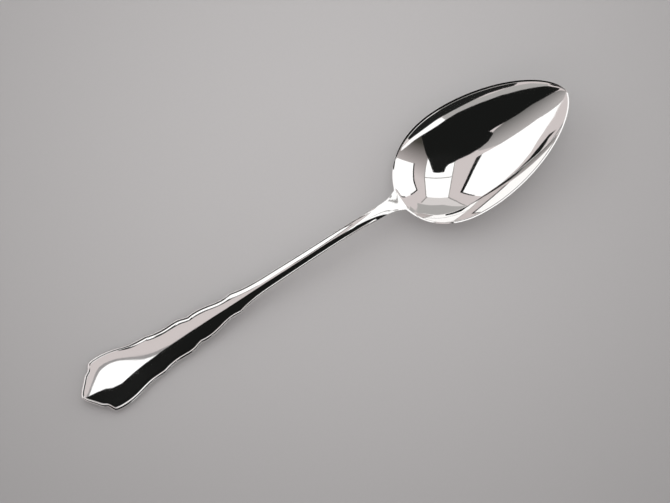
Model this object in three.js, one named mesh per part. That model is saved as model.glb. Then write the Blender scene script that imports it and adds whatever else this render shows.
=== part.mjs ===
// A table spoon of traditional form, struck from one piece of white metal. The handle has a
// pointed, shouldered end, a scrolled outline with small cusps, a raised thread along its edge
// and a softly crowned face. It narrows to a slim stem, flares at the neck and opens into a
// deep egg-shaped bowl whose rim lifts towards the tip. The back is plain, with a rounded heel
// that runs from the stem on to the back of the bowl.
//
// Millimetres. +X runs from the tip of the handle to the tip of the bowl, +Y across the spoon
// and +Z up out of the hollow. The origin is on the table, under the middle of the spoon.
// Positions along the spoon are counted from the tip of the handle.

import * as THREE from "three";
import { mergeVertices } from "three/addons/utils/BufferGeometryUtils.js";

// Overall sizes
const overallLength = 210;
const bowlLength = 72.4;
const bowlWidth = 42.4;
const bowlDepth = 10.4;
const endWidth = 21.8;
const stemWidth = 4.7;

// Middle line of the handle's face and rim of the bowl: height above the table at the handle's
// end, rise of the arch above the neck, and lift of the rim from the neck to the tip
const endHeight = 3.4;
const archRise = 2.25;
const tipLift = 10;

// Metal: wall of the bowl, height of the upright edge and the rounding below it
const bowlWall = 1.3;
const rimHeight = 0.45;
const handleEdgeHeight = 1;
const edgeRounding = 0.4;
const endBelly = 0.5;
const heelDepth = 1.5;
const heelLength = 14;
const restWear = 0.22;

// Thread along the edge of the handle, and the narrow land round the bowl, which falls a little
// towards the hollow
const threadWidth = 1;
const stemThreadWidth = 0.75;
const threadHeight = 0.24;
const stemThreadHeight = 0.34;
const threadFadeLength = 8;
const landWidth = 0.5;
const landFall = 0.18;

// Handle's face: its crown, how far it rolls off beside the thread, and where it gives way to
// the hollow of the bowl
const endCrown = 1.36;
const rollWidth = 2.6;
const rollDepth = 0.3;
const neckFadeLength = 9;
const hollowStartBlend = 0.5;

const handleLength = overallLength - bowlLength;
const endHalfWidth = endWidth / 2;
const stemHalfWidth = stemWidth / 2;
const bowlHalfWidth = bowlWidth / 2;

// Outline of the handle's end, from its point to the last cusp, in stretches that meet at
// corners: each point is a share of the handle's length and a share of the end's half width.
const endOutlineShares = [
  [[0, 0], [0.0027, 0.089], [0.0082, 0.201], [0.0251, 0.45], [0.0353, 0.6], [0.0468, 0.696]],
  [[0.0468, 0.696], [0.0517, 0.768], [0.0557, 0.875], [0.0613, 0.95], [0.0707, 0.985],
    [0.0931, 1], [0.133, 0.939], [0.16, 0.85], [0.186, 0.775], [0.213, 0.747], [0.2314, 0.737]],
  [[0.2314, 0.737], [0.2407, 0.7], [0.2553, 0.66], [0.2793, 0.628], [0.3138, 0.635],
    [0.3324, 0.606], [0.3457, 0.553], [0.355, 0.524]],
  [[0.355, 0.524], [0.3617, 0.538], [0.3723, 0.543], [0.3856, 0.536], [0.4122, 0.485],
    [0.4388, 0.41], [0.4641, 0.379], [0.4854, 0.403]],
];

// Taper from the last cusp along the stem to the neck, where it flares: a share of the
// handle's length and the half width as a share of the stem's.
const stemOutlineShares = [
  [0.4854, 1.79], [0.4975, 1.69], [0.5319, 1.35], [0.5638, 1.2], [0.6117, 1.13], [0.6915, 1.05],
  [0.7979, 1], [0.8644, 0.99], [0.9309, 0.985], [0.9574, 1.02], [0.984, 1.33], [1, 1.72],
];

// Egg shape of the bowl: its widest place as a share of its length, then the powers of the
// curves on the neck side and on the tip side.
const widestShare = 0.394;
const neckCurve = { inner: 2.35, outer: 0.525 };
const tipCurve = { inner: 1.82, outer: 0.6 };
const neckBlendPower = 6;

// Hollow: shares of its length and of its depth along the middle, and how far its section from
// side to side is from a plain parabola, with a flatter floor and steeper sides.
const hollowShares = [
  [-0.08, -0.4], [-0.03, -0.19], [0.02, 0.03], [0.1, 0.41], [0.22, 0.81], [0.36, 1], [0.52, 0.95],
  [0.68, 0.73], [0.84, 0.39], [1, 0],
];
const flatFloorShare = 0.3;

// Rise of the handle's middle line, as shares of the handle's length and of the rise from the
// end to the arch, and of the rim, as shares of the bowl's length and of the lift from the neck
// to the tip.
const handleRiseShares = [
  [0, 0], [0.04, 0.012], [0.11, -0.012], [0.2, -0.05], [0.27, -0.02], [0.36, 0.1], [0.52, 0.44],
  [0.72, 0.85], [0.87, 1],
];
const rimLiftShares = [[0, 0], [0.3, 0.24], [0.65, 0.58], [1, 1]];

// Crown of the face along the handle, as shares of the handle's length and of the end's crown,
// and the smooth half width that the crown and the back follow under the scrolled outline, as
// shares of the handle's length and of the end's half width, up to where the stem takes over.
const crownShares = [
  [0, 0.62], [0.05, 0.9], [0.11, 1], [0.26, 0.74], [0.4, 0.54], [0.487, 0.49], [0.58, 0.55],
  [0.8, 0.62], [0.87, 0.54], [0.91, 0.32], [0.95, 0.1], [1, 0.03],
];
const guideShares = [
  [0, 0.96], [0.1, 1], [0.26, 0.77], [0.4, 0.53], [0.5, 0.37], [0.6, 0.265], [0.75, 0.23],
];
const guideRun = { startShare: 0.6, lengthShare: 0.15 };

// Stretches of the handle, as shares of its length, over which the thread narrows, the roll
// beside it comes and goes, and the heel grows.
const threadRun = { startShare: 0.25, lengthShare: 0.4 };
const rollIn = { startShare: 0.06, lengthShare: 0.2 };
const rollOut = { startShare: 0.4, lengthShare: 0.35 };
const heelRun = { startShare: 0.3, lengthShare: 0.5 };

// A smooth curve through points, as a function: a natural cubic spline.
function smoothCurve(points) {
  const last = points.length - 1;
  const bends = new Array(points.length).fill(0);
  const ratios = new Array(points.length).fill(0);
  for (let i = 1; i < last; i++) {
    const before = points[i][0] - points[i - 1][0];
    const after = points[i + 1][0] - points[i][0];
    const slopeChange = (points[i + 1][1] - points[i][1]) / after
      - (points[i][1] - points[i - 1][1]) / before;
    const pivot = 2 * (before + after) - before * ratios[i - 1];
    ratios[i] = after / pivot;
    bends[i] = (6 * slopeChange - before * bends[i - 1]) / pivot;
  }
  for (let i = last - 1; i > 0; i--) {
    bends[i] -= ratios[i] * bends[i + 1];
  }
  return (x) => {
    let i = 1;
    while (i < last && x > points[i][0]) {
      i++;
    }
    const [x0, y0] = points[i - 1];
    const [x1, y1] = points[i];
    const span = x1 - x0;
    const b = Math.min(Math.max((x - x0) / span, 0), 1);
    const a = 1 - b;
    const bend = (a * a * a - a) * bends[i - 1] + (b * b * b - b) * bends[i];
    return a * y0 + b * y1 + (bend * span * span) / 6;
  };
}

// 0 before start, 1 past start + length, and a smooth run between them.
function easeIn(x, start, length) {
  const t = Math.min(Math.max((x - start) / length, 0), 1);
  return t * t * t * (t * (6 * t - 15) + 10);
}

// The same over a stretch that is given in shares of the handle's length.
function easeAlong(x, run) {
  return easeIn(x, run.startShare * handleLength, run.lengthShare * handleLength);
}

function scalePoints(shares, length, height, start, base) {
  return shares.map(([along, up]) => [start + along * length, base + up * height]);
}

// Half width of the spoon

const endStretches = endOutlineShares.map((shares) =>
  scalePoints(shares, handleLength, endHalfWidth, 0, 0));
const lastCusp = endStretches.at(-1).at(-1);
const stemPoints = scalePoints(stemOutlineShares, handleLength, stemHalfWidth, 0, 0);
stemPoints[0] = lastCusp;
const endCurves = endStretches.map(smoothCurve);
const stemCurve = smoothCurve(stemPoints);
const widestAt = handleLength + widestShare * bowlLength;

function eggWidth(x) {
  const curve = x < widestAt ? neckCurve : tipCurve;
  const reach = x < widestAt ? widestAt - handleLength : overallLength - widestAt;
  const u = Math.abs(x - widestAt) / reach;
  return bowlHalfWidth * Math.max(1 - u ** curve.inner, 0) ** curve.outer;
}

function handleHalfWidth(x) {
  const i = endStretches.findIndex((stretch) => x <= stretch.at(-1)[0]);
  if (i >= 0) {
    return Math.max(endCurves[i](x), 0);
  }
  const fade = 1 - easeIn(x, handleLength, widestAt - handleLength);
  return stemCurve(x) * fade;
}

function halfWidth(x) {
  if (x <= handleLength) {
    return handleHalfWidth(x);
  }
  const stem = handleHalfWidth(x);
  const egg = eggWidth(x);
  return (stem ** neckBlendPower + egg ** neckBlendPower) ** (1 / neckBlendPower);
}

// Width of the thread or land, and the half width inside it: the outline drawn in by a disc
// of that radius.
function borderWidth(x) {
  const handleBorder = threadWidth + (stemThreadWidth - threadWidth) * easeAlong(x, threadRun);
  const toBowl = easeIn(x, handleLength - neckFadeLength, 2 * neckFadeLength);
  return handleBorder + (landWidth - handleBorder) * toBowl;
}

const discSamples = 20;

function widthNear(x, shift) {
  const along = x + shift;
  return along < 0 || along > overallLength ? 0 : halfWidth(along);
}

function insideHalfWidth(x) {
  const radius = borderWidth(x);
  let inside = halfWidth(x) - radius;
  for (let i = -discSamples; i <= discSamples; i++) {
    const share = i / discSamples;
    const drop = radius * Math.sqrt(1 - share * share);
    inside = Math.min(inside, widthNear(x, radius * share) - drop);
  }
  return Math.max(inside, 0);
}

// Distance in plan from a point on the face to the outline, up to a reach.
function edgeDistance(x, y, reach) {
  let nearest = reach;
  for (let i = -discSamples; i <= discSamples; i++) {
    const shift = (reach * i) / discSamples;
    const gap = Math.max(widthNear(x, shift) - Math.abs(y), 0);
    nearest = Math.min(nearest, Math.hypot(shift, gap));
  }
  return nearest;
}

// Depth of the hollow below the rim, along the middle of the bowl, blended out of nothing behind
// the neck

const hollowEnd = overallLength - landWidth;
const hollowCurve = smoothCurve(
  scalePoints(hollowShares, hollowEnd - handleLength, bowlDepth, handleLength, 0));

function hollowDepth(x) {
  if (x >= hollowEnd) {
    return 0;
  }
  const depth = hollowCurve(x);
  const blended = (depth + Math.hypot(depth, hollowStartBlend)) / 2;
  const toPlain = easeIn(x, handleLength, neckFadeLength);
  const grow = easeIn(x, handleLength - neckFadeLength, neckFadeLength);
  return grow * (blended * (1 - toPlain) + depth * toPlain);
}

// Height of the section from side to side, from 0 in the middle to 1 at the edge
function sectionRise(v) {
  return v * v * (1 - flatFloorShare + flatFloorShare * v * v);
}

// Height of the handle's middle line and of the rim. The neck stands as high as puts the lowest
// place under the bowl just below the table, where wear has made a small flat.

function faceLineFor(neckHeight) {
  const handleRise = neckHeight + archRise - endHeight;
  return smoothCurve([
    ...scalePoints(handleRiseShares, handleLength, handleRise, 0, endHeight),
    ...scalePoints(rimLiftShares, bowlLength, tipLift, handleLength, neckHeight),
  ]);
}

function lowestUnder(line) {
  const samples = 400;
  const depths = Array.from({ length: samples }, (_, i) => {
    const x = handleLength + (bowlLength * i) / samples;
    return line(x) - hollowDepth(x) - bowlWall;
  });
  return Math.min(...depths);
}

function settledFaceLine() {
  const passes = 3;
  let neckHeight = bowlDepth + bowlWall;
  for (let i = 0; i < passes; i++) {
    neckHeight -= lowestUnder(faceLineFor(neckHeight)) + restWear;
  }
  return faceLineFor(neckHeight);
}

const faceLine = settledFaceLine();

// Form of the cross-section at each place along the spoon

const crownCurve = smoothCurve(scalePoints(crownShares, handleLength, endCrown, 0, 0));
const guideCurve = smoothCurve(scalePoints(guideShares, handleLength, endHalfWidth, 0, 0));

function crownHeight(x) {
  return crownCurve(x) * (1 - easeIn(x, handleLength - neckFadeLength, neckFadeLength));
}

function guideWidth(x) {
  const toOutline = easeAlong(x, guideRun);
  return guideCurve(x) * (1 - toOutline) + halfWidth(x) * toOutline;
}

// Place of y across the section, from 0 in the middle to about 1 at the edge
function placeAcross(x, y) {
  const guide = guideWidth(x);
  return guide > 0 ? Math.abs(y) / guide : 0;
}

// The thread stands higher where the face rolls off beside it, and dies away before the neck.
function threadRise(x) {
  const fadeStart = handleLength - neckFadeLength - threadFadeLength;
  const rise = threadHeight + (stemThreadHeight - threadHeight) * easeAlong(x, rollIn);
  return rise * (1 - easeIn(x, fadeStart, threadFadeLength));
}

function rollAt(x, distance) {
  const depth = rollDepth * easeAlong(x, rollIn) * (1 - easeAlong(x, rollOut));
  const toFace = Math.min(Math.max((distance - borderWidth(x)) / rollWidth, 0), 1);
  return depth * (1 - toFace) ** 3;
}

function edgeHeight(x) {
  const toBowl = easeIn(x, handleLength - neckFadeLength, 2 * neckFadeLength);
  return handleEdgeHeight + (rimHeight - handleEdgeHeight) * toBowl;
}

function bellyDepth(x) {
  const toBowl = easeIn(x, handleLength - neckFadeLength, neckFadeLength);
  const shell = hollowDepth(x) + bowlWall - rimHeight - edgeRounding;
  return endBelly * (1 - toBowl) + shell * toBowl;
}

function heelAt(x, y) {
  const fade = 1 - easeIn(x, handleLength, heelLength);
  const across = Math.max(1 - (y / stemHalfWidth) ** 2, 0);
  return heelDepth * easeAlong(x, heelRun) * fade * across * Math.sqrt(across);
}

// Crowned face inside a half-round thread on the handle, and the hollow inside a sloping land
// on the bowl
function topHeight(x, y, inside) {
  const distance = edgeDistance(x, y, borderWidth(x) + rollWidth);
  const q = Math.min(distance / borderWidth(x), 1);
  const land = landFall * easeIn(x, handleLength, neckFadeLength);
  const edge = threadRise(x) * Math.sin(Math.PI * q) - land * q;
  const face = faceLine(x) - crownHeight(x) * placeAcross(x, y) ** 2 - rollAt(x, distance);
  const v = inside > 0 ? Math.min(Math.abs(y) / inside, 1) : 1;
  return face + edge - hollowDepth(x) * (1 - sectionRise(v));
}

function bottomHeight(x, y, half, rounding) {
  const fromEdge = Math.min((half - Math.abs(y)) / Math.max(rounding, Number.EPSILON), 1);
  const round = rounding * Math.sqrt(Math.max(1 - (1 - fromEdge) ** 2, 0));
  const belly = bellyDepth(x) * (1 - sectionRise(placeAcross(x, y))) * (half > 0 ? 1 : 0);
  const edge = faceLine(x) - crownHeight(x) - edgeHeight(x);
  return Math.max(edge - round - belly - heelAt(x, y), 0);
}

// Stations along the spoon, close together at both tips, at the cusps and at the neck

const cusps = endStretches.map((stretch) => stretch.at(-1)[0]);
const shoulderShare = 0.0931;
const neckStartShare = 0.9;
const hollowStartShare = 0.09;
const stationStretches = [
  { end: cusps[0], steps: 9, crowd: "start" },
  { end: shoulderShare * handleLength, steps: 8 },
  { end: cusps[1], steps: 11 },
  { end: cusps[2], steps: 11 },
  { end: cusps[3], steps: 12 },
  { end: neckStartShare * handleLength, steps: 14 },
  { end: handleLength, steps: 9 },
  { end: handleLength + hollowStartShare * bowlLength, steps: 10 },
  { end: widestAt, steps: 10 },
  { end: overallLength - landWidth, steps: 20, crowd: "end" },
  { end: overallLength, steps: 4, crowd: "end" },
];

function stationPlaces() {
  const places = [0];
  for (const { end, steps, crowd } of stationStretches) {
    const start = places.at(-1);
    for (let i = 1; i <= steps; i++) {
      const t = i / steps;
      const eased = { start: 1 - Math.cos((Math.PI * t) / 2), end: Math.sin((Math.PI * t) / 2) };
      places.push(start + (end - start) * (eased[crowd] ?? t));
    }
  }
  return places;
}

// One ring of points round the spoon at a station: across the top, then back underneath

const borderShares = [0, 0.25, 0.5, 0.75];
const roundingShares = [0, 0.3];
const topSteps = 18;
const bottomSteps = 14;

function acrossPlaces(half, inside, shares, steps) {
  const border = shares.map((share) => half - (half - inside) * share);
  const middle = [];
  for (let i = 0; i <= steps; i++) {
    middle.push(inside * (1 - (2 * i) / steps));
  }
  return [...border, ...middle, ...border.map((y) => -y).reverse()];
}

function stationRing(x) {
  const half = halfWidth(x);
  const inside = insideHalfWidth(x);
  const rounding = Math.min(edgeRounding, half / 2);
  const top = acrossPlaces(half, inside, borderShares, topSteps)
    .map((y) => [y, topHeight(x, y, inside)]);
  const bottom = acrossPlaces(half, half - rounding, roundingShares, bottomSteps)
    .map((y) => [y, bottomHeight(x, y, half, rounding)]);
  return [...top, ...bottom.reverse()].map(([y, z]) => [x - overallLength / 2, y, z]);
}

// Rings joined into one closed skin. Points that coincide at the tips are merged, and the
// triangles that vanish there are dropped.
function skinOf(rings) {
  const count = rings[0].length;
  const positions = new Float32Array(rings.flat(2));
  const index = [];
  for (let i = 0; i + 1 < rings.length; i++) {
    for (let j = 0; j < count; j++) {
      const a = i * count + j;
      const b = i * count + ((j + 1) % count);
      index.push(a, b, b + count, a, b + count, a + count);
    }
  }
  const raw = new THREE.BufferGeometry();
  raw.setAttribute("position", new THREE.BufferAttribute(positions, 3));
  raw.setIndex(index);
  const merged = mergeVertices(raw);
  const kept = [];
  const corners = merged.index.array;
  for (let i = 0; i < corners.length; i += 3) {
    const [a, b, c] = corners.slice(i, i + 3);
    if (a !== b && b !== c && c !== a) {
      kept.push(a, b, c);
    }
  }
  merged.setIndex(kept);
  merged.computeVertexNormals();
  return merged;
}

const silver = new THREE.MeshStandardMaterial({ color: 0xe6e4e1, metalness: 1, roughness: 0.07 });
const spoon = new THREE.Mesh(skinOf(stationPlaces().map(stationRing)), silver);
spoon.name = "spoon";

const group = new THREE.Group();
group.add(spoon);

export default group;
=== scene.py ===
# A table spoon of traditional form in polished white metal, lying hollow up on a pale table.
# Lengths are named in millimetres, counted along the spoon from the tip of the handle, and
# become metres where the mesh is made. The frame is that of the solids: +X from the handle's
# tip to the bowl's tip, +Z up, origin on the table under the middle of the spoon.
import math

import bpy
import bmesh
import numpy as np
from mathutils import Matrix, Vector
from mathutils.geometry import tessellate_polygon

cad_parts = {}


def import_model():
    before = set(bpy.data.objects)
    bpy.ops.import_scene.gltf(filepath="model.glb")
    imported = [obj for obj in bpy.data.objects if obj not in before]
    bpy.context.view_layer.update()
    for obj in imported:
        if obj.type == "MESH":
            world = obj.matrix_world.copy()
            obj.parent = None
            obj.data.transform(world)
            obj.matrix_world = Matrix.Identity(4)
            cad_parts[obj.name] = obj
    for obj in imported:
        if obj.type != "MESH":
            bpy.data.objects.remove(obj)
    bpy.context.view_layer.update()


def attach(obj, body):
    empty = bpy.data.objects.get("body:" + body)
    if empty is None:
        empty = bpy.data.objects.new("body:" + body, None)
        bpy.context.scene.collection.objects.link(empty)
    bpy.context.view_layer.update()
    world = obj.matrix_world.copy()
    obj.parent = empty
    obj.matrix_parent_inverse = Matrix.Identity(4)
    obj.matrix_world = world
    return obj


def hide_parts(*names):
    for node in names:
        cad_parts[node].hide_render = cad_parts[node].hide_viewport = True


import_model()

MM = 0.001
TINY = 1e-6

# Overall sizes
OVERALL_LENGTH = 210
BOWL_LENGTH = 72.4
BOWL_WIDTH = 42.4
BOWL_DEPTH = 10.4
END_WIDTH = 21.8
STEM_WIDTH = 4.7
FACE_HEIGHT = 3.4
ARCH_HEIGHT = 10.84
NECK_HEIGHT = 8.59
TIP_LIFT = 10

# Metal
BOWL_WALL = 1.3
RIM_HEIGHT = 0.45
HANDLE_EDGE_HEIGHT = 1
EDGE_ROUNDING = 0.4
END_BELLY = 0.5
HEEL_DEPTH = 1.5
HEEL_LENGTH = 14
HEEL_POWER = 1.5

# Thread along the handle's edge, and the land round the bowl
THREAD_WIDTH = 1
STEM_THREAD_WIDTH = 0.75
THREAD_HEIGHT = 0.24
STEM_THREAD_HEIGHT = 0.34
LAND_WIDTH = 0.5
LAND_FALL = 0.18
THREAD_FADE = 8
ROLL_WIDTH = 2.6
ROLL_DEPTH = 0.3

# Stretches of the handle over which forms come and go: start and length, as shares of its length
THREAD_RUN = (0.25, 0.4)
ROLL_IN = (0.06, 0.2)
ROLL_OUT = (0.4, 0.35)
GUIDE_RUN = (0.6, 0.15)
HEEL_RUN = (0.3, 0.5)

# Crown of the handle's face, and where it gives way to the hollow
END_CROWN = 1.36
NECK_FADE = 9
HOLLOW_START_BLEND = 0.5

HANDLE_LENGTH = OVERALL_LENGTH - BOWL_LENGTH
END_HALF = END_WIDTH / 2
STEM_HALF = STEM_WIDTH / 2
BOWL_HALF = BOWL_WIDTH / 2
HOLLOW_END = OVERALL_LENGTH - LAND_WIDTH

END_OUTLINE = [
    [(0, 0), (0.0027, 0.089), (0.0082, 0.201), (0.0251, 0.45), (0.0353, 0.6), (0.0468, 0.696)],
    [(0.0468, 0.696), (0.0517, 0.768), (0.0557, 0.875), (0.0613, 0.95), (0.0707, 0.985),
     (0.0931, 1), (0.133, 0.939), (0.16, 0.85), (0.186, 0.775), (0.213, 0.747),
     (0.2314, 0.737)],
    [(0.2314, 0.737), (0.2407, 0.7), (0.2553, 0.66), (0.2793, 0.628), (0.3138, 0.635),
     (0.3324, 0.606), (0.3457, 0.553), (0.355, 0.524)],
    [(0.355, 0.524), (0.3617, 0.538), (0.3723, 0.543), (0.3856, 0.536), (0.4122, 0.485),
     (0.4388, 0.41), (0.4641, 0.379), (0.4854, 0.403)],
]
STEM_OUTLINE = [
    (0.4854, 1.79), (0.4975, 1.69), (0.5319, 1.35), (0.5638, 1.2), (0.6117, 1.13), (0.6915, 1.05),
    (0.7979, 1), (0.8644, 0.99), (0.9309, 0.985), (0.9574, 1.02), (0.984, 1.33), (1, 1.72),
]
WIDEST_SHARE = 0.394
NECK_CURVE = (2.35, 0.525)
TIP_CURVE = (1.82, 0.6)
NECK_BLEND_POWER = 6
HOLLOW_SHARES = [
    (-0.08, -0.4), (-0.03, -0.19), (0.02, 0.03), (0.1, 0.41), (0.22, 0.81), (0.36, 1), (0.52, 0.95),
    (0.68, 0.73), (0.84, 0.39), (1, 0),
]
FLAT_FLOOR_SHARE = 0.3
FACE_SHARES = [
    (0, 0), (0.04, 0.012), (0.11, -0.012), (0.2, -0.05), (0.27, -0.02), (0.36, 0.1), (0.52, 0.44),
    (0.72, 0.85), (0.87, 1),
]
RIM_LIFT_SHARES = [(0, 0), (0.3, 0.24), (0.65, 0.58), (1, 1)]
CROWN_SHARES = [
    (0, 0.62), (0.05, 0.9), (0.11, 1), (0.26, 0.74), (0.4, 0.54), (0.487, 0.49), (0.58, 0.55),
    (0.8, 0.62), (0.87, 0.54), (0.91, 0.32), (0.95, 0.1), (1, 0.03),
]
GUIDE_SHARES = [
    (0, 0.96), (0.1, 1), (0.26, 0.77), (0.4, 0.53), (0.5, 0.37), (0.6, 0.265), (0.75, 0.23),
]


def smooth_curve(points):
    """A natural cubic spline through points."""
    x, y = np.array(points, float).T
    last = len(x) - 1
    bends = np.zeros(last + 1)
    ratios = np.zeros(last + 1)
    for i in range(1, last):
        before, after = x[i] - x[i - 1], x[i + 1] - x[i]
        change = (y[i + 1] - y[i]) / after - (y[i] - y[i - 1]) / before
        pivot = 2 * (before + after) - before * ratios[i - 1]
        ratios[i] = after / pivot
        bends[i] = (6 * change - before * bends[i - 1]) / pivot
    for i in range(last - 1, 0, -1):
        bends[i] -= ratios[i] * bends[i + 1]

    def curve(q):
        q = np.asarray(q, float)
        i = np.clip(np.searchsorted(x, q), 1, last)
        span = x[i] - x[i - 1]
        b = np.clip((q - x[i - 1]) / span, 0, 1)
        a = 1 - b
        bend = (a ** 3 - a) * bends[i - 1] + (b ** 3 - b) * bends[i]
        return a * y[i - 1] + b * y[i] + bend * span * span / 6
    return curve


def ease_in(x, start, length):
    """Rises smoothly from 0 to 1, with no slope or bend at either end."""
    t = np.clip((x - start) / length, 0, 1)
    return t * t * t * (t * (6 * t - 15) + 10)


def along_handle(x, run):
    """Rises smoothly from 0 to 1 over a stretch of the handle."""
    start, length = run
    return ease_in(x, start * HANDLE_LENGTH, length * HANDLE_LENGTH)


def scaled(shares, length, height, start=0, base=0):
    """Points in millimetres from shares of a length and of a height."""
    return [(start + along * length, base + up * height) for along, up in shares]


# Outline
end_stretches = [scaled(shares, HANDLE_LENGTH, END_HALF) for shares in END_OUTLINE]
end_curves = [smooth_curve(stretch) for stretch in end_stretches]
cusps = [stretch[-1][0] for stretch in end_stretches]
stem_curve = smooth_curve(
    [end_stretches[-1][-1]] + scaled(STEM_OUTLINE, HANDLE_LENGTH, STEM_HALF)[1:])
widest_at = HANDLE_LENGTH + WIDEST_SHARE * BOWL_LENGTH


def half_width(x):
    """Half the spoon's width: the outline of the handle, flowing into the bowl's egg form."""
    x = np.asarray(x, float)
    width = stem_curve(x) * (1 - ease_in(x, HANDLE_LENGTH, widest_at - HANDLE_LENGTH))
    for cusp, curve in reversed(list(zip(cusps, end_curves))):
        width = np.where(x <= cusp, np.maximum(curve(x), 0), width)
    near = x < widest_at
    inner = np.where(near, NECK_CURVE[0], TIP_CURVE[0])
    outer = np.where(near, NECK_CURVE[1], TIP_CURVE[1])
    reach = np.where(near, widest_at - HANDLE_LENGTH, OVERALL_LENGTH - widest_at)
    u = np.abs(x - widest_at) / reach
    egg = BOWL_HALF * np.maximum(1 - u ** inner, 0) ** outer
    both = (width ** NECK_BLEND_POWER + egg ** NECK_BLEND_POWER) ** (1 / NECK_BLEND_POWER)
    width = np.where(x <= HANDLE_LENGTH, width, both)
    return np.where((x < 0) | (x > OVERALL_LENGTH), 0, width)


def thread_width(x):
    """Width of the raised thread, narrower along the stem."""
    narrow = along_handle(x, THREAD_RUN)
    return THREAD_WIDTH + (STEM_THREAD_WIDTH - THREAD_WIDTH) * narrow


def border_width(x):
    """Width of the thread, and of the land that takes its place round the bowl."""
    to_bowl = ease_in(x, HANDLE_LENGTH - NECK_FADE, 2 * NECK_FADE)
    return thread_width(x) + (LAND_WIDTH - thread_width(x)) * to_bowl


DISC_STEPS = 80
DISC_SHARES = np.linspace(-1, 1, DISC_STEPS + 1)


def inside_half_width(x):
    """Half width inside the border: the outline drawn in by a disc."""
    radius = border_width(x)
    inside = half_width(x) - radius
    for share in DISC_SHARES:
        reach = radius * math.sqrt(1 - share * share)
        inside = np.minimum(inside, half_width(x + share * radius) - reach)
    return np.maximum(inside, 0)


def edge_distance(x, y, reach):
    """Distance in plan from a point to the outline, up to a reach."""
    radius = border_width(x) + reach
    nearest = radius.copy()
    for share in DISC_SHARES:
        shift = share * radius
        gap = np.maximum(half_width(x + shift) - np.abs(y), 0)
        nearest = np.minimum(nearest, np.hypot(shift, gap))
    return nearest


# Heights
hollow_curve = smooth_curve(
    scaled(HOLLOW_SHARES, HOLLOW_END - HANDLE_LENGTH, BOWL_DEPTH, HANDLE_LENGTH))
face_line = smooth_curve(
    scaled(FACE_SHARES, HANDLE_LENGTH, ARCH_HEIGHT - FACE_HEIGHT, 0, FACE_HEIGHT)
    + scaled(RIM_LIFT_SHARES, BOWL_LENGTH, TIP_LIFT, HANDLE_LENGTH, NECK_HEIGHT))
crown_curve = smooth_curve(scaled(CROWN_SHARES, HANDLE_LENGTH, END_CROWN))
guide_curve = smooth_curve(scaled(GUIDE_SHARES, HANDLE_LENGTH, END_HALF))


def hollow_depth(x):
    """The hollow's depth, blended smoothly out of nothing behind the neck."""
    depth = hollow_curve(x)
    blended = (depth + np.hypot(depth, HOLLOW_START_BLEND)) / 2
    near = ease_in(x, HANDLE_LENGTH - NECK_FADE, NECK_FADE)
    to_end = ease_in(x, HANDLE_LENGTH, NECK_FADE)
    depth = near * (blended * (1 - to_end) + depth * to_end)
    return np.where(x < HOLLOW_END, depth, 0)


def section_rise(v):
    """Rise of a section from its middle, 0, to its side, 1."""
    return v * v * (1 - FLAT_FLOOR_SHARE + FLAT_FLOOR_SHARE * v * v)


def guide_width(x):
    """Smooth half width that the crown and the back follow, without the outline's cusps."""
    to_outline = along_handle(x, GUIDE_RUN)
    return guide_curve(x) * (1 - to_outline) + np.maximum(half_width(x), TINY) * to_outline


def crown_height(x):
    """How far the handle's face falls from its middle to its side."""
    return crown_curve(x) * (1 - ease_in(x, HANDLE_LENGTH - NECK_FADE, NECK_FADE))


def thread_rise(x):
    """Height of the thread over the face: low round the broad end, higher on the stem."""
    fade_start = HANDLE_LENGTH - NECK_FADE - THREAD_FADE
    to_stem = along_handle(x, ROLL_IN)
    rise = THREAD_HEIGHT + (STEM_THREAD_HEIGHT - THREAD_HEIGHT) * to_stem
    return rise * (1 - ease_in(x, fade_start, THREAD_FADE))


def land_fall(x):
    """How far the land round the bowl falls towards the hollow."""
    return LAND_FALL * ease_in(x, HANDLE_LENGTH, NECK_FADE)


def roll_depth(x):
    """How far the face rolls off beside the thread, between the broad end and the stem."""
    start = along_handle(x, ROLL_IN)
    end = along_handle(x, ROLL_OUT)
    return ROLL_DEPTH * start * (1 - end)


def top_height(x, y, inside):
    """Height of the upper side: crowned face, thread or land, and hollow."""
    border = border_width(x)
    distance = edge_distance(x, y, ROLL_WIDTH)
    q = np.minimum(distance / border, 1)
    to_face = np.clip((distance - border) / ROLL_WIDTH, 0, 1)
    roll = roll_depth(x) * (1 - to_face) ** 3
    v = np.minimum(np.abs(y) / np.maximum(inside, TINY), 1)
    face = face_line(x) - crown_height(x) * (y / guide_width(x)) ** 2 - roll
    edge = thread_rise(x) * np.sin(math.pi * q) - land_fall(x) * q
    return face + edge - hollow_depth(x) * (1 - section_rise(v))


def bottom_height(x, y, half, rounding):
    """Height of the underside: edge, rounding, belly and heel, worn flat at the table."""
    to_bowl = ease_in(x, HANDLE_LENGTH - NECK_FADE, 2 * NECK_FADE)
    edge_height = HANDLE_EDGE_HEIGHT + (RIM_HEIGHT - HANDLE_EDGE_HEIGHT) * to_bowl
    from_edge = np.minimum((half - np.abs(y)) / np.maximum(rounding, TINY), 1)
    round_off = rounding * np.sqrt(np.maximum(1 - (1 - from_edge) ** 2, 0))
    shell = hollow_depth(x) + BOWL_WALL - RIM_HEIGHT - EDGE_ROUNDING
    to_shell = ease_in(x, HANDLE_LENGTH - NECK_FADE, NECK_FADE)
    belly = END_BELLY * (1 - to_shell) + shell * to_shell
    v = np.abs(y) / guide_width(x)
    grow = along_handle(x, HEEL_RUN)
    fade = 1 - ease_in(x, HANDLE_LENGTH, HEEL_LENGTH)
    heel = HEEL_DEPTH * grow * fade * np.maximum(1 - (y / STEM_HALF) ** 2, 0) ** HEEL_POWER
    edge = face_line(x) - crown_height(x)
    height = edge - edge_height - round_off - belly * (1 - section_rise(v)) - heel
    return np.maximum(height, 0)


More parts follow.
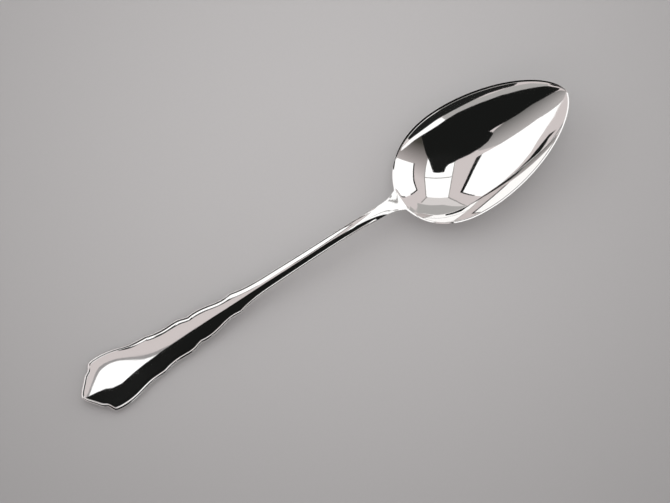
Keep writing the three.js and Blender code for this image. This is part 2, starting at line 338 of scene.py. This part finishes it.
# Mesh: rings of points round the spoon at stations along it. Steps across are for each border
# and for the middle.
NECK_STOP_SHARE = 0.9
STATION_STEPS = [45, 66, 58, 58, 82, 38, 68, 116, 24]
TOP_STEPS = (12, 88)
BOTTOM_STEPS = (6, 48)
MERGE_DISTANCE = 0.001 * MM


def stations():
    """Places along the spoon, closer together towards its two ends."""
    stops = [0, *cusps, NECK_STOP_SHARE * HANDLE_LENGTH, HANDLE_LENGTH, widest_at, HOLLOW_END,
             OVERALL_LENGTH]
    places = [np.zeros(1)]
    for start, end, count in zip(stops, stops[1:], STATION_STEPS):
        t = np.arange(1, count + 1) / count
        if start == 0:
            t = 1 - np.cos(math.pi * t / 2)
        if end > widest_at:
            t = np.sin(math.pi * t / 2)
        places.append(start + (end - start) * t)
    return np.concatenate(places)


def across(half, inside, steps):
    """Places from side to side: fine over the border, even between."""
    border_steps, middle_steps = steps
    half, inside = half[:, None], inside[:, None]
    border = np.arange(border_steps) / border_steps
    left = half - (half - inside) * border
    middle = inside * np.linspace(1, -1, middle_steps + 1)
    return np.concatenate([left, middle, -left[:, ::-1]], axis=1)


def spoon_mesh():
    """The whole spoon as one closed mesh."""
    x = stations()
    half = half_width(x)
    inside = inside_half_width(x)
    rounding = np.minimum(EDGE_ROUNDING, half / 2)
    top_y = across(half, inside, TOP_STEPS)
    bottom_y = across(half, half - rounding, BOTTOM_STEPS)[:, ::-1]
    top_x = np.repeat(x[:, None], top_y.shape[1], axis=1)
    bottom_x = np.repeat(x[:, None], bottom_y.shape[1], axis=1)
    top_z = top_height(top_x, top_y, inside[:, None])
    bottom_z = bottom_height(bottom_x, bottom_y, half[:, None], rounding[:, None])
    points = np.stack([
        np.concatenate([top_x, bottom_x], axis=1) - OVERALL_LENGTH / 2,
        np.concatenate([top_y, bottom_y], axis=1),
        np.concatenate([top_z, bottom_z], axis=1)], axis=-1) * MM
    rings, count = points.shape[:2]
    faces = []
    for i in range(rings - 1):
        for j in range(count):
            a, b = i * count + j, i * count + (j + 1) % count
            faces.append((a, b, b + count, a + count))
    mesh = bpy.data.meshes.new("silver_spoon")
    mesh.from_pydata(points.reshape(-1, 3).tolist(), [], faces)
    shape = bmesh.new()
    shape.from_mesh(mesh)
    bmesh.ops.remove_doubles(shape, verts=shape.verts, dist=MERGE_DISTANCE)
    bmesh.ops.recalc_face_normals(shape, faces=shape.faces)
    shape.to_mesh(mesh)
    shape.free()
    mesh.shade_smooth()
    return mesh


# Silver: scratches are stretched noise, turned by degrees, in waves per metre
SILVER_COLOUR = (0.93, 0.92, 0.91, 1)
SILVER_ROUGHNESS = 0.02
WEAR_ROUGHNESS = 0.035
WEAR_SCALE = 140
WEAR_DETAIL = 5
SCRATCH_TURNS = (12, -21, 64)
SCRATCH_ALONG = 60
SCRATCH_ACROSS = 3500
SCRATCH_DETAIL = 2
SCRATCH_THINNESS = 160
SCRATCH_ROUGHNESS = 0.1
SCRATCH_BUMP = 0.3
SCRATCH_DEPTH = 0.001 * MM

# Table: half its size in metres, how far it lies below the spoon's flats, its tone, where the light
# painted on it is brightest in the picture, and how that painted light dims from there
TABLE_HALF = 3
TABLE_DROP = 0.02
TABLE_COLOUR = (0.642, 0.643, 0.645)
TABLE_ROUGHNESS = 0.8
TABLE_PAINTED_LIGHT_PLACE = (-1.5, 60)
TABLE_PAINTED_LIGHT_RADIUS = 190
TABLE_PAINTED_DIMMEST = 0.48
GRAIN_SCALE = 900
GRAIN_DETAIL = 4
GRAIN_CONTRAST = 0.03


def new_material(name):
    """A material with its nodes and links."""
    material = bpy.data.materials.new(name)
    material.use_nodes = True
    nodes, links = material.node_tree.nodes, material.node_tree.links
    return material, nodes, links


def math_node(nodes, links, operation, *values):
    """A math node whose inputs are numbers or the sockets of other nodes."""
    node = nodes.new("ShaderNodeMath")
    node.operation = operation
    for socket, value in zip(node.inputs, values):
        if isinstance(value, (int, float)):
            socket.default_value = value
        else:
            links.new(value, socket)
    return node.outputs[0]


def noise_node(nodes, links, place, scale, detail):
    """The value of a noise at a place."""
    node = nodes.new("ShaderNodeTexNoise")
    node.inputs["Scale"].default_value = scale
    node.inputs["Detail"].default_value = detail
    links.new(place, node.inputs["Vector"])
    return node.outputs["Fac"]


def scratch_lines(nodes, links, place, turn):
    """Thin lines in one direction: 1 on a line, 0 between."""
    stretch = nodes.new("ShaderNodeMapping")
    stretch.inputs["Rotation"].default_value = (0, 0, math.radians(turn))
    stretch.inputs["Scale"].default_value = (SCRATCH_ALONG, SCRATCH_ACROSS, SCRATCH_ALONG)
    links.new(place, stretch.inputs["Vector"])
    waves = noise_node(nodes, links, stretch.outputs[0], 1, SCRATCH_DETAIL)
    swing = math_node(nodes, links, "MULTIPLY_ADD", waves, 2, -1)
    away = math_node(nodes, links, "ABSOLUTE", swing)
    near = math_node(nodes, links, "SUBTRACT", 1, away)
    return math_node(nodes, links, "POWER", near, SCRATCH_THINNESS)


def silver_material():
    """Mirror-polished silver with fine hairline scratches and a trace of wear."""
    material, nodes, links = new_material("polished_silver")
    shader = nodes["Principled BSDF"]
    shader.inputs["Base Color"].default_value = SILVER_COLOUR
    shader.inputs["Metallic"].default_value = 1
    place = nodes.new("ShaderNodeTexCoord").outputs["Object"]
    scratches = scratch_lines(nodes, links, place, SCRATCH_TURNS[0])
    for turn in SCRATCH_TURNS[1:]:
        lines = scratch_lines(nodes, links, place, turn)
        scratches = math_node(nodes, links, "MAXIMUM", scratches, lines)
    wear = noise_node(nodes, links, place, WEAR_SCALE, WEAR_DETAIL)
    haze = math_node(nodes, links, "MULTIPLY_ADD", wear, WEAR_ROUGHNESS, SILVER_ROUGHNESS)
    marks = math_node(nodes, links, "MULTIPLY", scratches, wear)
    rough = math_node(nodes, links, "MULTIPLY_ADD", marks, SCRATCH_ROUGHNESS, haze)
    links.new(rough, shader.inputs["Roughness"])
    bump = nodes.new("ShaderNodeBump")
    bump.inputs["Strength"].default_value = SCRATCH_BUMP
    bump.inputs["Distance"].default_value = SCRATCH_DEPTH
    links.new(marks, bump.inputs["Height"])
    links.new(bump.outputs["Normal"], shader.inputs["Normal"])
    return material


def table_material():
    """A smooth pale table, with painted light brightest behind the spoon and painted shade a little
    darker all round.
    """
    material, nodes, links = new_material("table_top")
    shader = nodes["Principled BSDF"]
    shader.inputs["Roughness"].default_value = TABLE_ROUGHNESS
    place = nodes.new("ShaderNodeTexCoord").outputs["Object"]
    # Painted light and shade: the table's colour is brightest round one place and dims outwards, in
    # place of the lamps' light falling off away from it.
    offset = nodes.new("ShaderNodeVectorMath")
    offset.operation = "SUBTRACT"
    offset.inputs[1].default_value = plane_point(*TABLE_PAINTED_LIGHT_PLACE, 0)
    links.new(place, offset.inputs[0])
    square = nodes.new("ShaderNodeVectorMath")
    square.operation = "DOT_PRODUCT"
    links.new(offset.outputs[0], square.inputs[0])
    links.new(offset.outputs[0], square.inputs[1])
    fall = math_node(nodes, links, "MULTIPLY", square.outputs["Value"],
                     -1 / (TABLE_PAINTED_LIGHT_RADIUS * MM) ** 2)
    painted_light = math_node(nodes, links, "POWER", math.e, fall)
    level = math_node(nodes, links, "MULTIPLY_ADD", painted_light, 1 - TABLE_PAINTED_DIMMEST, TABLE_PAINTED_DIMMEST)
    grain = noise_node(nodes, links, place, GRAIN_SCALE, GRAIN_DETAIL)
    speck = math_node(nodes, links, "MULTIPLY_ADD", grain, GRAIN_CONTRAST, 1 - GRAIN_CONTRAST / 2)
    tone = nodes.new("ShaderNodeVectorMath")
    tone.operation = "SCALE"
    tone.inputs[0].default_value = TABLE_COLOUR
    links.new(math_node(nodes, links, "MULTIPLY", level, speck), tone.inputs["Scale"])
    links.new(tone.outputs[0], shader.inputs["Base Color"])
    return material


def emission_material(name, colour, strength, far_colour):
    """A glow of one colour, or of two that blend by the mesh's "fade" value."""
    material, nodes, links = new_material(name)
    nodes.clear()
    output = nodes.new("ShaderNodeOutputMaterial")
    light = nodes.new("ShaderNodeEmission")
    light.inputs["Color"].default_value = (*colour, 1)
    light.inputs["Strength"].default_value = strength
    links.new(light.outputs[0], output.inputs[0])
    if far_colour:
        fade = nodes.new("ShaderNodeAttribute")
        fade.attribute_name = "fade"
        blend = nodes.new("ShaderNodeMix")
        blend.data_type = "RGBA"
        blend.inputs["A"].default_value = (*colour, 1)
        blend.inputs["B"].default_value = (*far_colour, 1)
        links.new(fade.outputs["Fac"], blend.inputs["Factor"])
        links.new(blend.outputs["Result"], light.inputs["Color"])
    return material


# Studio: cards far off, at CARD_DISTANCE in metres, in the directions that the metal mirrors.
# A direction is given as degrees from straight up, to the right and to the top of the picture.
# The spoon slants across the picture by PICTURE_TURN, and its middle lies PICTURE_SHIFT
# millimetres to the right and the top of the picture's middle.
PICTURE_TURN = math.radians(32.04)
PICTURE_SHIFT = (-3.952, 1.051)
CARD_DISTANCE = 4.0
CARD_CUTS = 7
LAYER_SHARE = 0.01
BOWL_MIDDLE = Vector(((widest_at - OVERALL_LENGTH / 2) * MM, 0, TIP_LIFT * MM))


def sky_point(right, up, distance):
    """The point that lies in a direction from the bowl's middle."""
    lean = math.radians(math.hypot(right, up))
    turn = math.atan2(up, right) - PICTURE_TURN
    flat = math.sin(lean)
    away = Vector((flat * math.cos(turn), flat * math.sin(turn), math.cos(lean)))
    return BOWL_MIDDLE + distance * away


def plane_point(right, up, height):
    """A point on a level plane, in millimetres to the right and the top of the picture."""
    x, y = right - PICTURE_SHIFT[0], up - PICTURE_SHIFT[1]
    far, turn = math.hypot(x, y), math.atan2(y, x) - PICTURE_TURN
    return Vector((far * math.cos(turn), far * math.sin(turn), height)) * MM


def add_object(name, data):
    """Puts a mesh or a camera into the scene under a name."""
    thing = bpy.data.objects.new(name, data)
    bpy.context.scene.collection.objects.link(thing)
    return thing


def card(name, corners, colour, strength=1, layer=0, height=None, fade=None):
    """A glowing or dark card that only the metal mirrors. Its corners are directions on the
    far sky, or, where a height is given, places on a level plane at that height. A higher
    layer lies nearer to the spoon and covers a lower one. With a fade, the colour blends
    into another from one place to another."""
    flat = [Vector((right, up, 0)) for right, up in corners]
    mesh = bpy.data.meshes.new(name)
    mesh.from_pydata(flat, [], tessellate_polygon([flat]))
    shape = bmesh.new()
    shape.from_mesh(mesh)
    if height is None or fade:
        bmesh.ops.subdivide_edges(shape, edges=shape.edges, cuts=CARD_CUTS, use_grid_fill=True)
    values = []
    for vertex in shape.verts:
        right, up = vertex.co.xy
        if fade:
            start, end = Vector(fade[0]), Vector(fade[1])
            along = (Vector((right, up)) - start).dot(end - start) / (end - start).length_squared
            values.append(min(max(along, 0), 1))
        if height is None:
            vertex.co = sky_point(right, up, CARD_DISTANCE * (1 - LAYER_SHARE * layer))
        else:
            vertex.co = plane_point(right, up, height)
    shape.to_mesh(mesh)
    shape.free()
    if fade:
        mesh.attributes.new("fade", "FLOAT", "POINT").data.foreach_set("value", values)
    mesh.materials.append(emission_material(name, colour, strength, fade and fade[2]))
    thing = add_object(name, mesh)
    thing.visible_camera = False
    thing.visible_shadow = False
    thing.visible_diffuse = height is None and colour != DARK


# Tones of the cards and strengths of their glow
WHITE = (1, 1, 1)
DARK = (0.009, 0.0095, 0.009)
GREY = (0.42, 0.41, 0.4)
SHADED = (0.17, 0.165, 0.16)
PALE = (0.7, 0.67, 0.66)
SWEPT = (0.43, 0.41, 0.405)
LINE = (0.3, 0.29, 0.28)
GLOOM = (0.06, 0.056, 0.048)
WALL = (0.65, 0.595, 0.59)
FRAME = (0.33, 0.32, 0.32)
WINDOW_STRENGTH = 1.15
LOW_WINDOW_STRENGTH = 1.1
RAIL_STRENGTH = 1.5
HORIZON_STRENGTH = 1.6
HANDLE_EDGE_STRENGTH = 2

# Heights of the low cards in millimetres
WALL_CARD_HEIGHT = 62
WINDOW_CARD_HEIGHT = 61.5
FRONT_CARD_HEIGHT = 61

# Far cards, named for what stands there in the room that the bowl mirrors
card("open_front", [
    (45.5, -54.6), (37.9, -37.9), (32.4, -24.8), (23.7, -7.4), (20.1, 2.4), (17.2, 8.9),
    (11.1, 9.4), (4.2, 8.7), (3.3, 2.5), (1, -0.8), (-2.3, -1.4), (-6.2, -3.8), (-15.7, -6),
    (-22.2, -8.7), (-25.1, -11.8), (-25.7, -17.6), (-24.2, -20.5), (-21.5, -22.8), (-23.9, -24.1),
    (-30.8, -24.9), (-36.6, -25.6), (-40, -26.8), (-42.9, -25.3), (-44.2, -24.8), (-45.3, -33.1),
    (-36.2, -48), (-26.4, -56.3), (-19.2, -61.7), (-7.5, -67.7), (4.7, -69.8), (12.7, -70.3),
    (20.2, -70), (27.3, -66.7), (32.2, -62.7),
], DARK, layer=5)
card("left_window", [
    (-26, -0.8), (-22.8, 42.5), (-32, 50.9), (-41.4, 59.7), (-50.2, 67.1), (-56.8, 59),
    (-62.5, 47.5), (-65, 35), (-62.9, 16.5), (-60.7, 6.5), (-55.6, -4.4), (-50.7, -7.3),
    (-44.5, -5.5), (-35.2, -2.6),
], WHITE, WINDOW_STRENGTH, layer=1)
card("left_frame", [
    (-22.5, 0.6), (-19.5, 41.5), (-38.6, 57.6), (-38, 55.7), (-22.8, 42.5), (-26, -0.8),
], DARK, layer=3)
card("side_sweep", [
    (-22, -6), (-19, -10), (-22, -16), (-25.7, -22), (-30.8, -25.5), (-36.6, -26), (-40, -27),
    (-42.9, -25.3), (-44.2, -24.8), (-45.9, -23.5), (-55.6, -4.4), (-50.7, -7.3), (-44.5, -5.5),
    (-35.2, -2.6), (-29.4, -3.7),
], SHADED, fade=((-36, -25), (-40, -7), SWEPT))
card("wall_shade", [
    (45.5, -54.6), (54, -48.4), (64, -38.4), (73, -30), (95, -27), (100, -17), (70.8, -13),
    (46.7, -5), (45.5, 10.7), (43, 30), (42, 41), (27, 46), (20, 20), (20, 2), (24, -7), (32, -25),
    (38, -38),
], WALL, fade=((68, 6), (44, -44), GLOOM))
card("right_window", [
    (70.8, -13.4), (46.7, -5.7), (45.5, 10.7), (44.2, 28), (41.6, 40.5), (49.2, 49.2), (48.8, 49.6),
    (62, 60), (85, 40), (94, 5), (92, -18),
], WHITE, WINDOW_STRENGTH, layer=1)
card("right_frame", [
    (47.1, -6.2), (45.2, -6.2), (44.6, 10.5), (43.1, 27.6), (40.1, 40.3), (49, 50.1), (49.6, 48.8),
    (42.3, 40.5), (45.3, 28.4), (46.4, 10.8),
], DARK, layer=3)
card("top_panel", [
    (28.3, -24), (27.2, -11.8), (28.8, 16.4), (27.4, 46.1), (-6.3, 45.8), (-5.4, 16.5), (-5, -0.6),
    (-3.4, -10.5),
], WHITE, WINDOW_STRENGTH, layer=1)
card("panel_edge_left", [
    (28, -13.9), (29.5, 16.5), (28.2, 46.3), (26.9, 46), (28.3, 16.4), (26.9, -13.8),
], LINE, layer=4)
card("panel_edge_right", [
    (-4.5, -4.3), (-5.9, 16.6), (-7, 45.9), (-5.8, 45.7), (-5, 16.4), (-3.7, -4.6),
], LINE, layer=4)
card("panel_seam", [
    (28.5, 16.8), (10.6, 16.1), (-5.2, 15.7), (-5.4, 16.8), (10.5, 17.3), (28.4, 18.1),
], LINE, layer=4)
card("back_band", [
    (27.4, 46), (-6.2, 45.3), (-19.1, 55.6), (-35.1, 70.9), (-0.8, 58.6), (35.6, 59.5),
], PALE)
card("corner_left", [
    (26.5, 45.2), (36.6, 56.8), (35, 57.6), (25.4, 46.3),
], LINE, layer=4)
card("corner_right", [
    (-6.2, 44.9), (-18.8, 54.4), (-36.6, 71.6), (-32.6, 69.4), (-19, 56.4), (-5.8, 46.7),
], LINE, layer=4)
card("back_sweep", [
    (41, 58.6), (35.6, 59.5), (-0.8, 58.6), (-35.1, 70.9), (-27.5, 80), (-20.2, 87.6), (6.1, 96.7),
    (26.2, 86.3), (35.2, 70.7), (37.8, 65.8),
], GREY, layer=1)
card("base_rail", [
    (-20.3, 84.6), (-38.2, 70), (-50.4, 64.4), (-56.1, 59), (-62.6, 54.3), (-67.9, 45.2),
    (-69.9, 33.1), (-70.5, 29), (-76, 34), (-73.5, 36), (-74.5, 42), (-74, 54), (-69, 64),
    (-62.5, 69), (-57, 74.5), (-45, 80), (-26, 93),
], DARK, RAIL_STRENGTH, layer=2)
card("low_white", [
    (45.5, -54.6), (32.2, -62.7), (27.3, -66.7), (32.6, -71.7), (38.4, -70.2), (47.6, -61.9),
    (61.9, -48.7), (72.7, -35.6), (72.8, -30.1), (64.1, -38.3), (54.1, -48.3),
], WHITE, LOW_WINDOW_STRENGTH, layer=1)
card("horizon_dark", [
    (62.1, -49.7), (55.6, -55.1), (44.2, -64.3), (35.7, -71.7), (26.7, -74.9), (16.3, -77.6),
    (5.5, -79.4), (-3.5, -77.5), (-11.3, -74.7), (-14.5, -95.9), (-4.3, -96.9), (6.7, -96.8),
    (20, -94.9), (32.6, -91.4), (43.2, -86.8), (55, -79.9), (68.9, -68.3), (75.8, -60.6),
], DARK, HORIZON_STRENGTH, layer=2)
card("low_grey", [
    (27.3, -66.7), (20.2, -70), (12.7, -70.3), (4.7, -69.8), (-7.5, -67.7), (-19.2, -61.7),
    (-26.4, -56.3), (-36.2, -48), (-35.3, -55.9), (-22.5, -68.3), (-14.6, -72.9), (-6.9, -75.8),
    (4.3, -77), (16.5, -77.9), (24.1, -77.7), (29.4, -75.1), (32.6, -71.7),
], GREY, layer=1)

# Low cards over the handle, which mirrors what is straight above it
card("handle_wall", [
    (-150, -49), (-104, -49), (-80, -42), (-77, -32), (-70, -25), (-59, -19), (-45, -11), (-36, -9),
    (-38, 13), (-44, 12), (-50, 8), (-57, 4), (-65, 5), (-74.8, 5), (-80, 9), (-86, 12),
    (-92.8, 9.5), (-95, 6.5), (-99, 6), (-103, 9), (-108, 14), (-116, 24), (-150, 30),
], WALL, height=WALL_CARD_HEIGHT)
card("handle_wall_edge", [
    (-116, 24), (-108, 14), (-103, 9), (-99, 6), (-95, 6.5), (-92.8, 9.5), (-86, 12), (-80, 9),
    (-74.8, 5), (-65, 5), (-57, 4), (-57, 6), (-65, 9), (-72, 10.5), (-82, 14), (-90, 23),
    (-98, 28), (-106, 27), (-104, 22), (-105, 19.7), (-108, 22), (-112, 28), (-118, 40),
], DARK, HANDLE_EDGE_STRENGTH, height=WALL_CARD_HEIGHT)
card("handle_front", [
    (-125, -62), (-112, -50.5), (-104.4, -49.3), (-98, -47.2), (-92, -46), (-86.7, -47.6),
    (-82, -46.3), (-80, -41), (-78.2, -36), (-76.9, -31.7), (-72, -26.8), (-66, -22.5), (-59, -19),
    (-50, -14), (-41, -9), (-34, -6.5), (-24, 0), (-15, 7), (-6, 9), (1, 10), (12, 10), (20, 3),
    (27, 0), (26, -10), (23, -22), (19, -32), (15, -41), (0, -58), (-20, -70), (-5, -130),
    (50, -235), (80, -330), (-80, -330), (-110, -200), (-100, -72),
], DARK, height=FRONT_CARD_HEIGHT)
card("handle_window", [
    (-103.7, -49.5), (-104, -40), (-104.2, -32), (-104.9, -23), (-104.3, -19.8), (-103, -17.3),
    (-101.4, -16.3), (-98.8, -16.5), (-95.8, -18), (-92, -20.9), (-88.3, -24.2), (-84.6, -27.7),
    (-81.9, -30.3), (-79.1, -32.3), (-76, -33), (-79, -50),
], WHITE, WINDOW_STRENGTH, height=WINDOW_CARD_HEIGHT)
card("handle_window_edge", [
    (-105.4, -50), (-105.6, -40), (-106, -32), (-107.4, -22), (-107.7, -16), (-106, -13.2),
    (-102.9, -12.6), (-99.7, -13.2), (-96.1, -15.6), (-92.5, -18.3), (-89, -21.4), (-85.7, -24.4),
    (-83.2, -26.6), (-80.5, -28.4), (-76, -29.6), (-70, -24), (-76, -34), (-79.1, -32.3),
    (-81.9, -30.3), (-84.6, -27.7), (-88.3, -24.2), (-92, -20.9), (-95.8, -18), (-98.8, -16.5),
    (-101.4, -16.3), (-103, -17.3), (-104.3, -19.8), (-104.9, -23), (-104.2, -32), (-104, -40),
    (-103.7, -49.5),
], FRAME, height=WINDOW_CARD_HEIGHT)


# Surroundings
def table():
    """A level square on which the spoon lies."""
    signs = [(-1, -1), (1, -1), (1, 1), (-1, 1)]
    corners = [(x * TABLE_HALF, y * TABLE_HALF, -TABLE_DROP * MM) for x, y in signs]
    mesh = bpy.data.meshes.new("table_top")
    mesh.from_pydata(corners, [], [(0, 1, 2, 3)])
    mesh.materials.append(table_material())
    add_object("table_top", mesh)


def world():
    """Plain light of the room's walls from all round."""
    scene_world = bpy.data.worlds.new("studio")
    bpy.context.scene.world = scene_world
    scene_world.use_nodes = True
    background = scene_world.node_tree.nodes["Background"]
    background.inputs["Color"].default_value = (*WALL, 1)
    background.inputs["Strength"].default_value = 1


# Camera, where the photograph was taken from: its lean from straight down in degrees, to the
# right and to the top of the picture, and its distance and reach in metres
CAMERA_LEAN = (7.0, -10.5)
CAMERA_DISTANCE = 1
CAMERA_REACH = 20
CAMERA_AIM = (-PICTURE_SHIFT[0], -PICTURE_SHIFT[1], 5)
CAMERA_LENS = 146.19
CAMERA_SENSOR = 36


def camera():
    """The camera, turned so that the spoon lies across the picture as photographed."""
    turn = Matrix.Rotation(-PICTURE_TURN, 3, "Z")
    back = turn @ Vector((
        math.tan(math.radians(CAMERA_LEAN[0])), math.tan(math.radians(CAMERA_LEAN[1])), 1))
    back.normalize()
    along = turn @ Vector((1, 0, 0))
    right = (along - along.dot(back) * back).normalized()
    up = back.cross(right)
    aim = turn @ Vector(CAMERA_AIM) * MM
    data = bpy.data.cameras.new("camera")
    data.lens = CAMERA_LENS
    data.sensor_width = CAMERA_SENSOR
    data.clip_end = CAMERA_REACH
    thing = add_object("camera", data)
    thing.matrix_world = Matrix.Translation(aim + back * CAMERA_DISTANCE) @ Matrix(
        (right, up, back)).transposed().to_4x4()
    bpy.context.scene.camera = thing


# The spoon in its surroundings
silver_mesh = spoon_mesh()
silver_mesh.materials.append(silver_material())
spoon = add_object("silver_spoon", silver_mesh)
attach(spoon, "root")
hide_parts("spoon")

table()
world()
camera()
bpy.context.scene.view_settings.view_transform = "Standard"
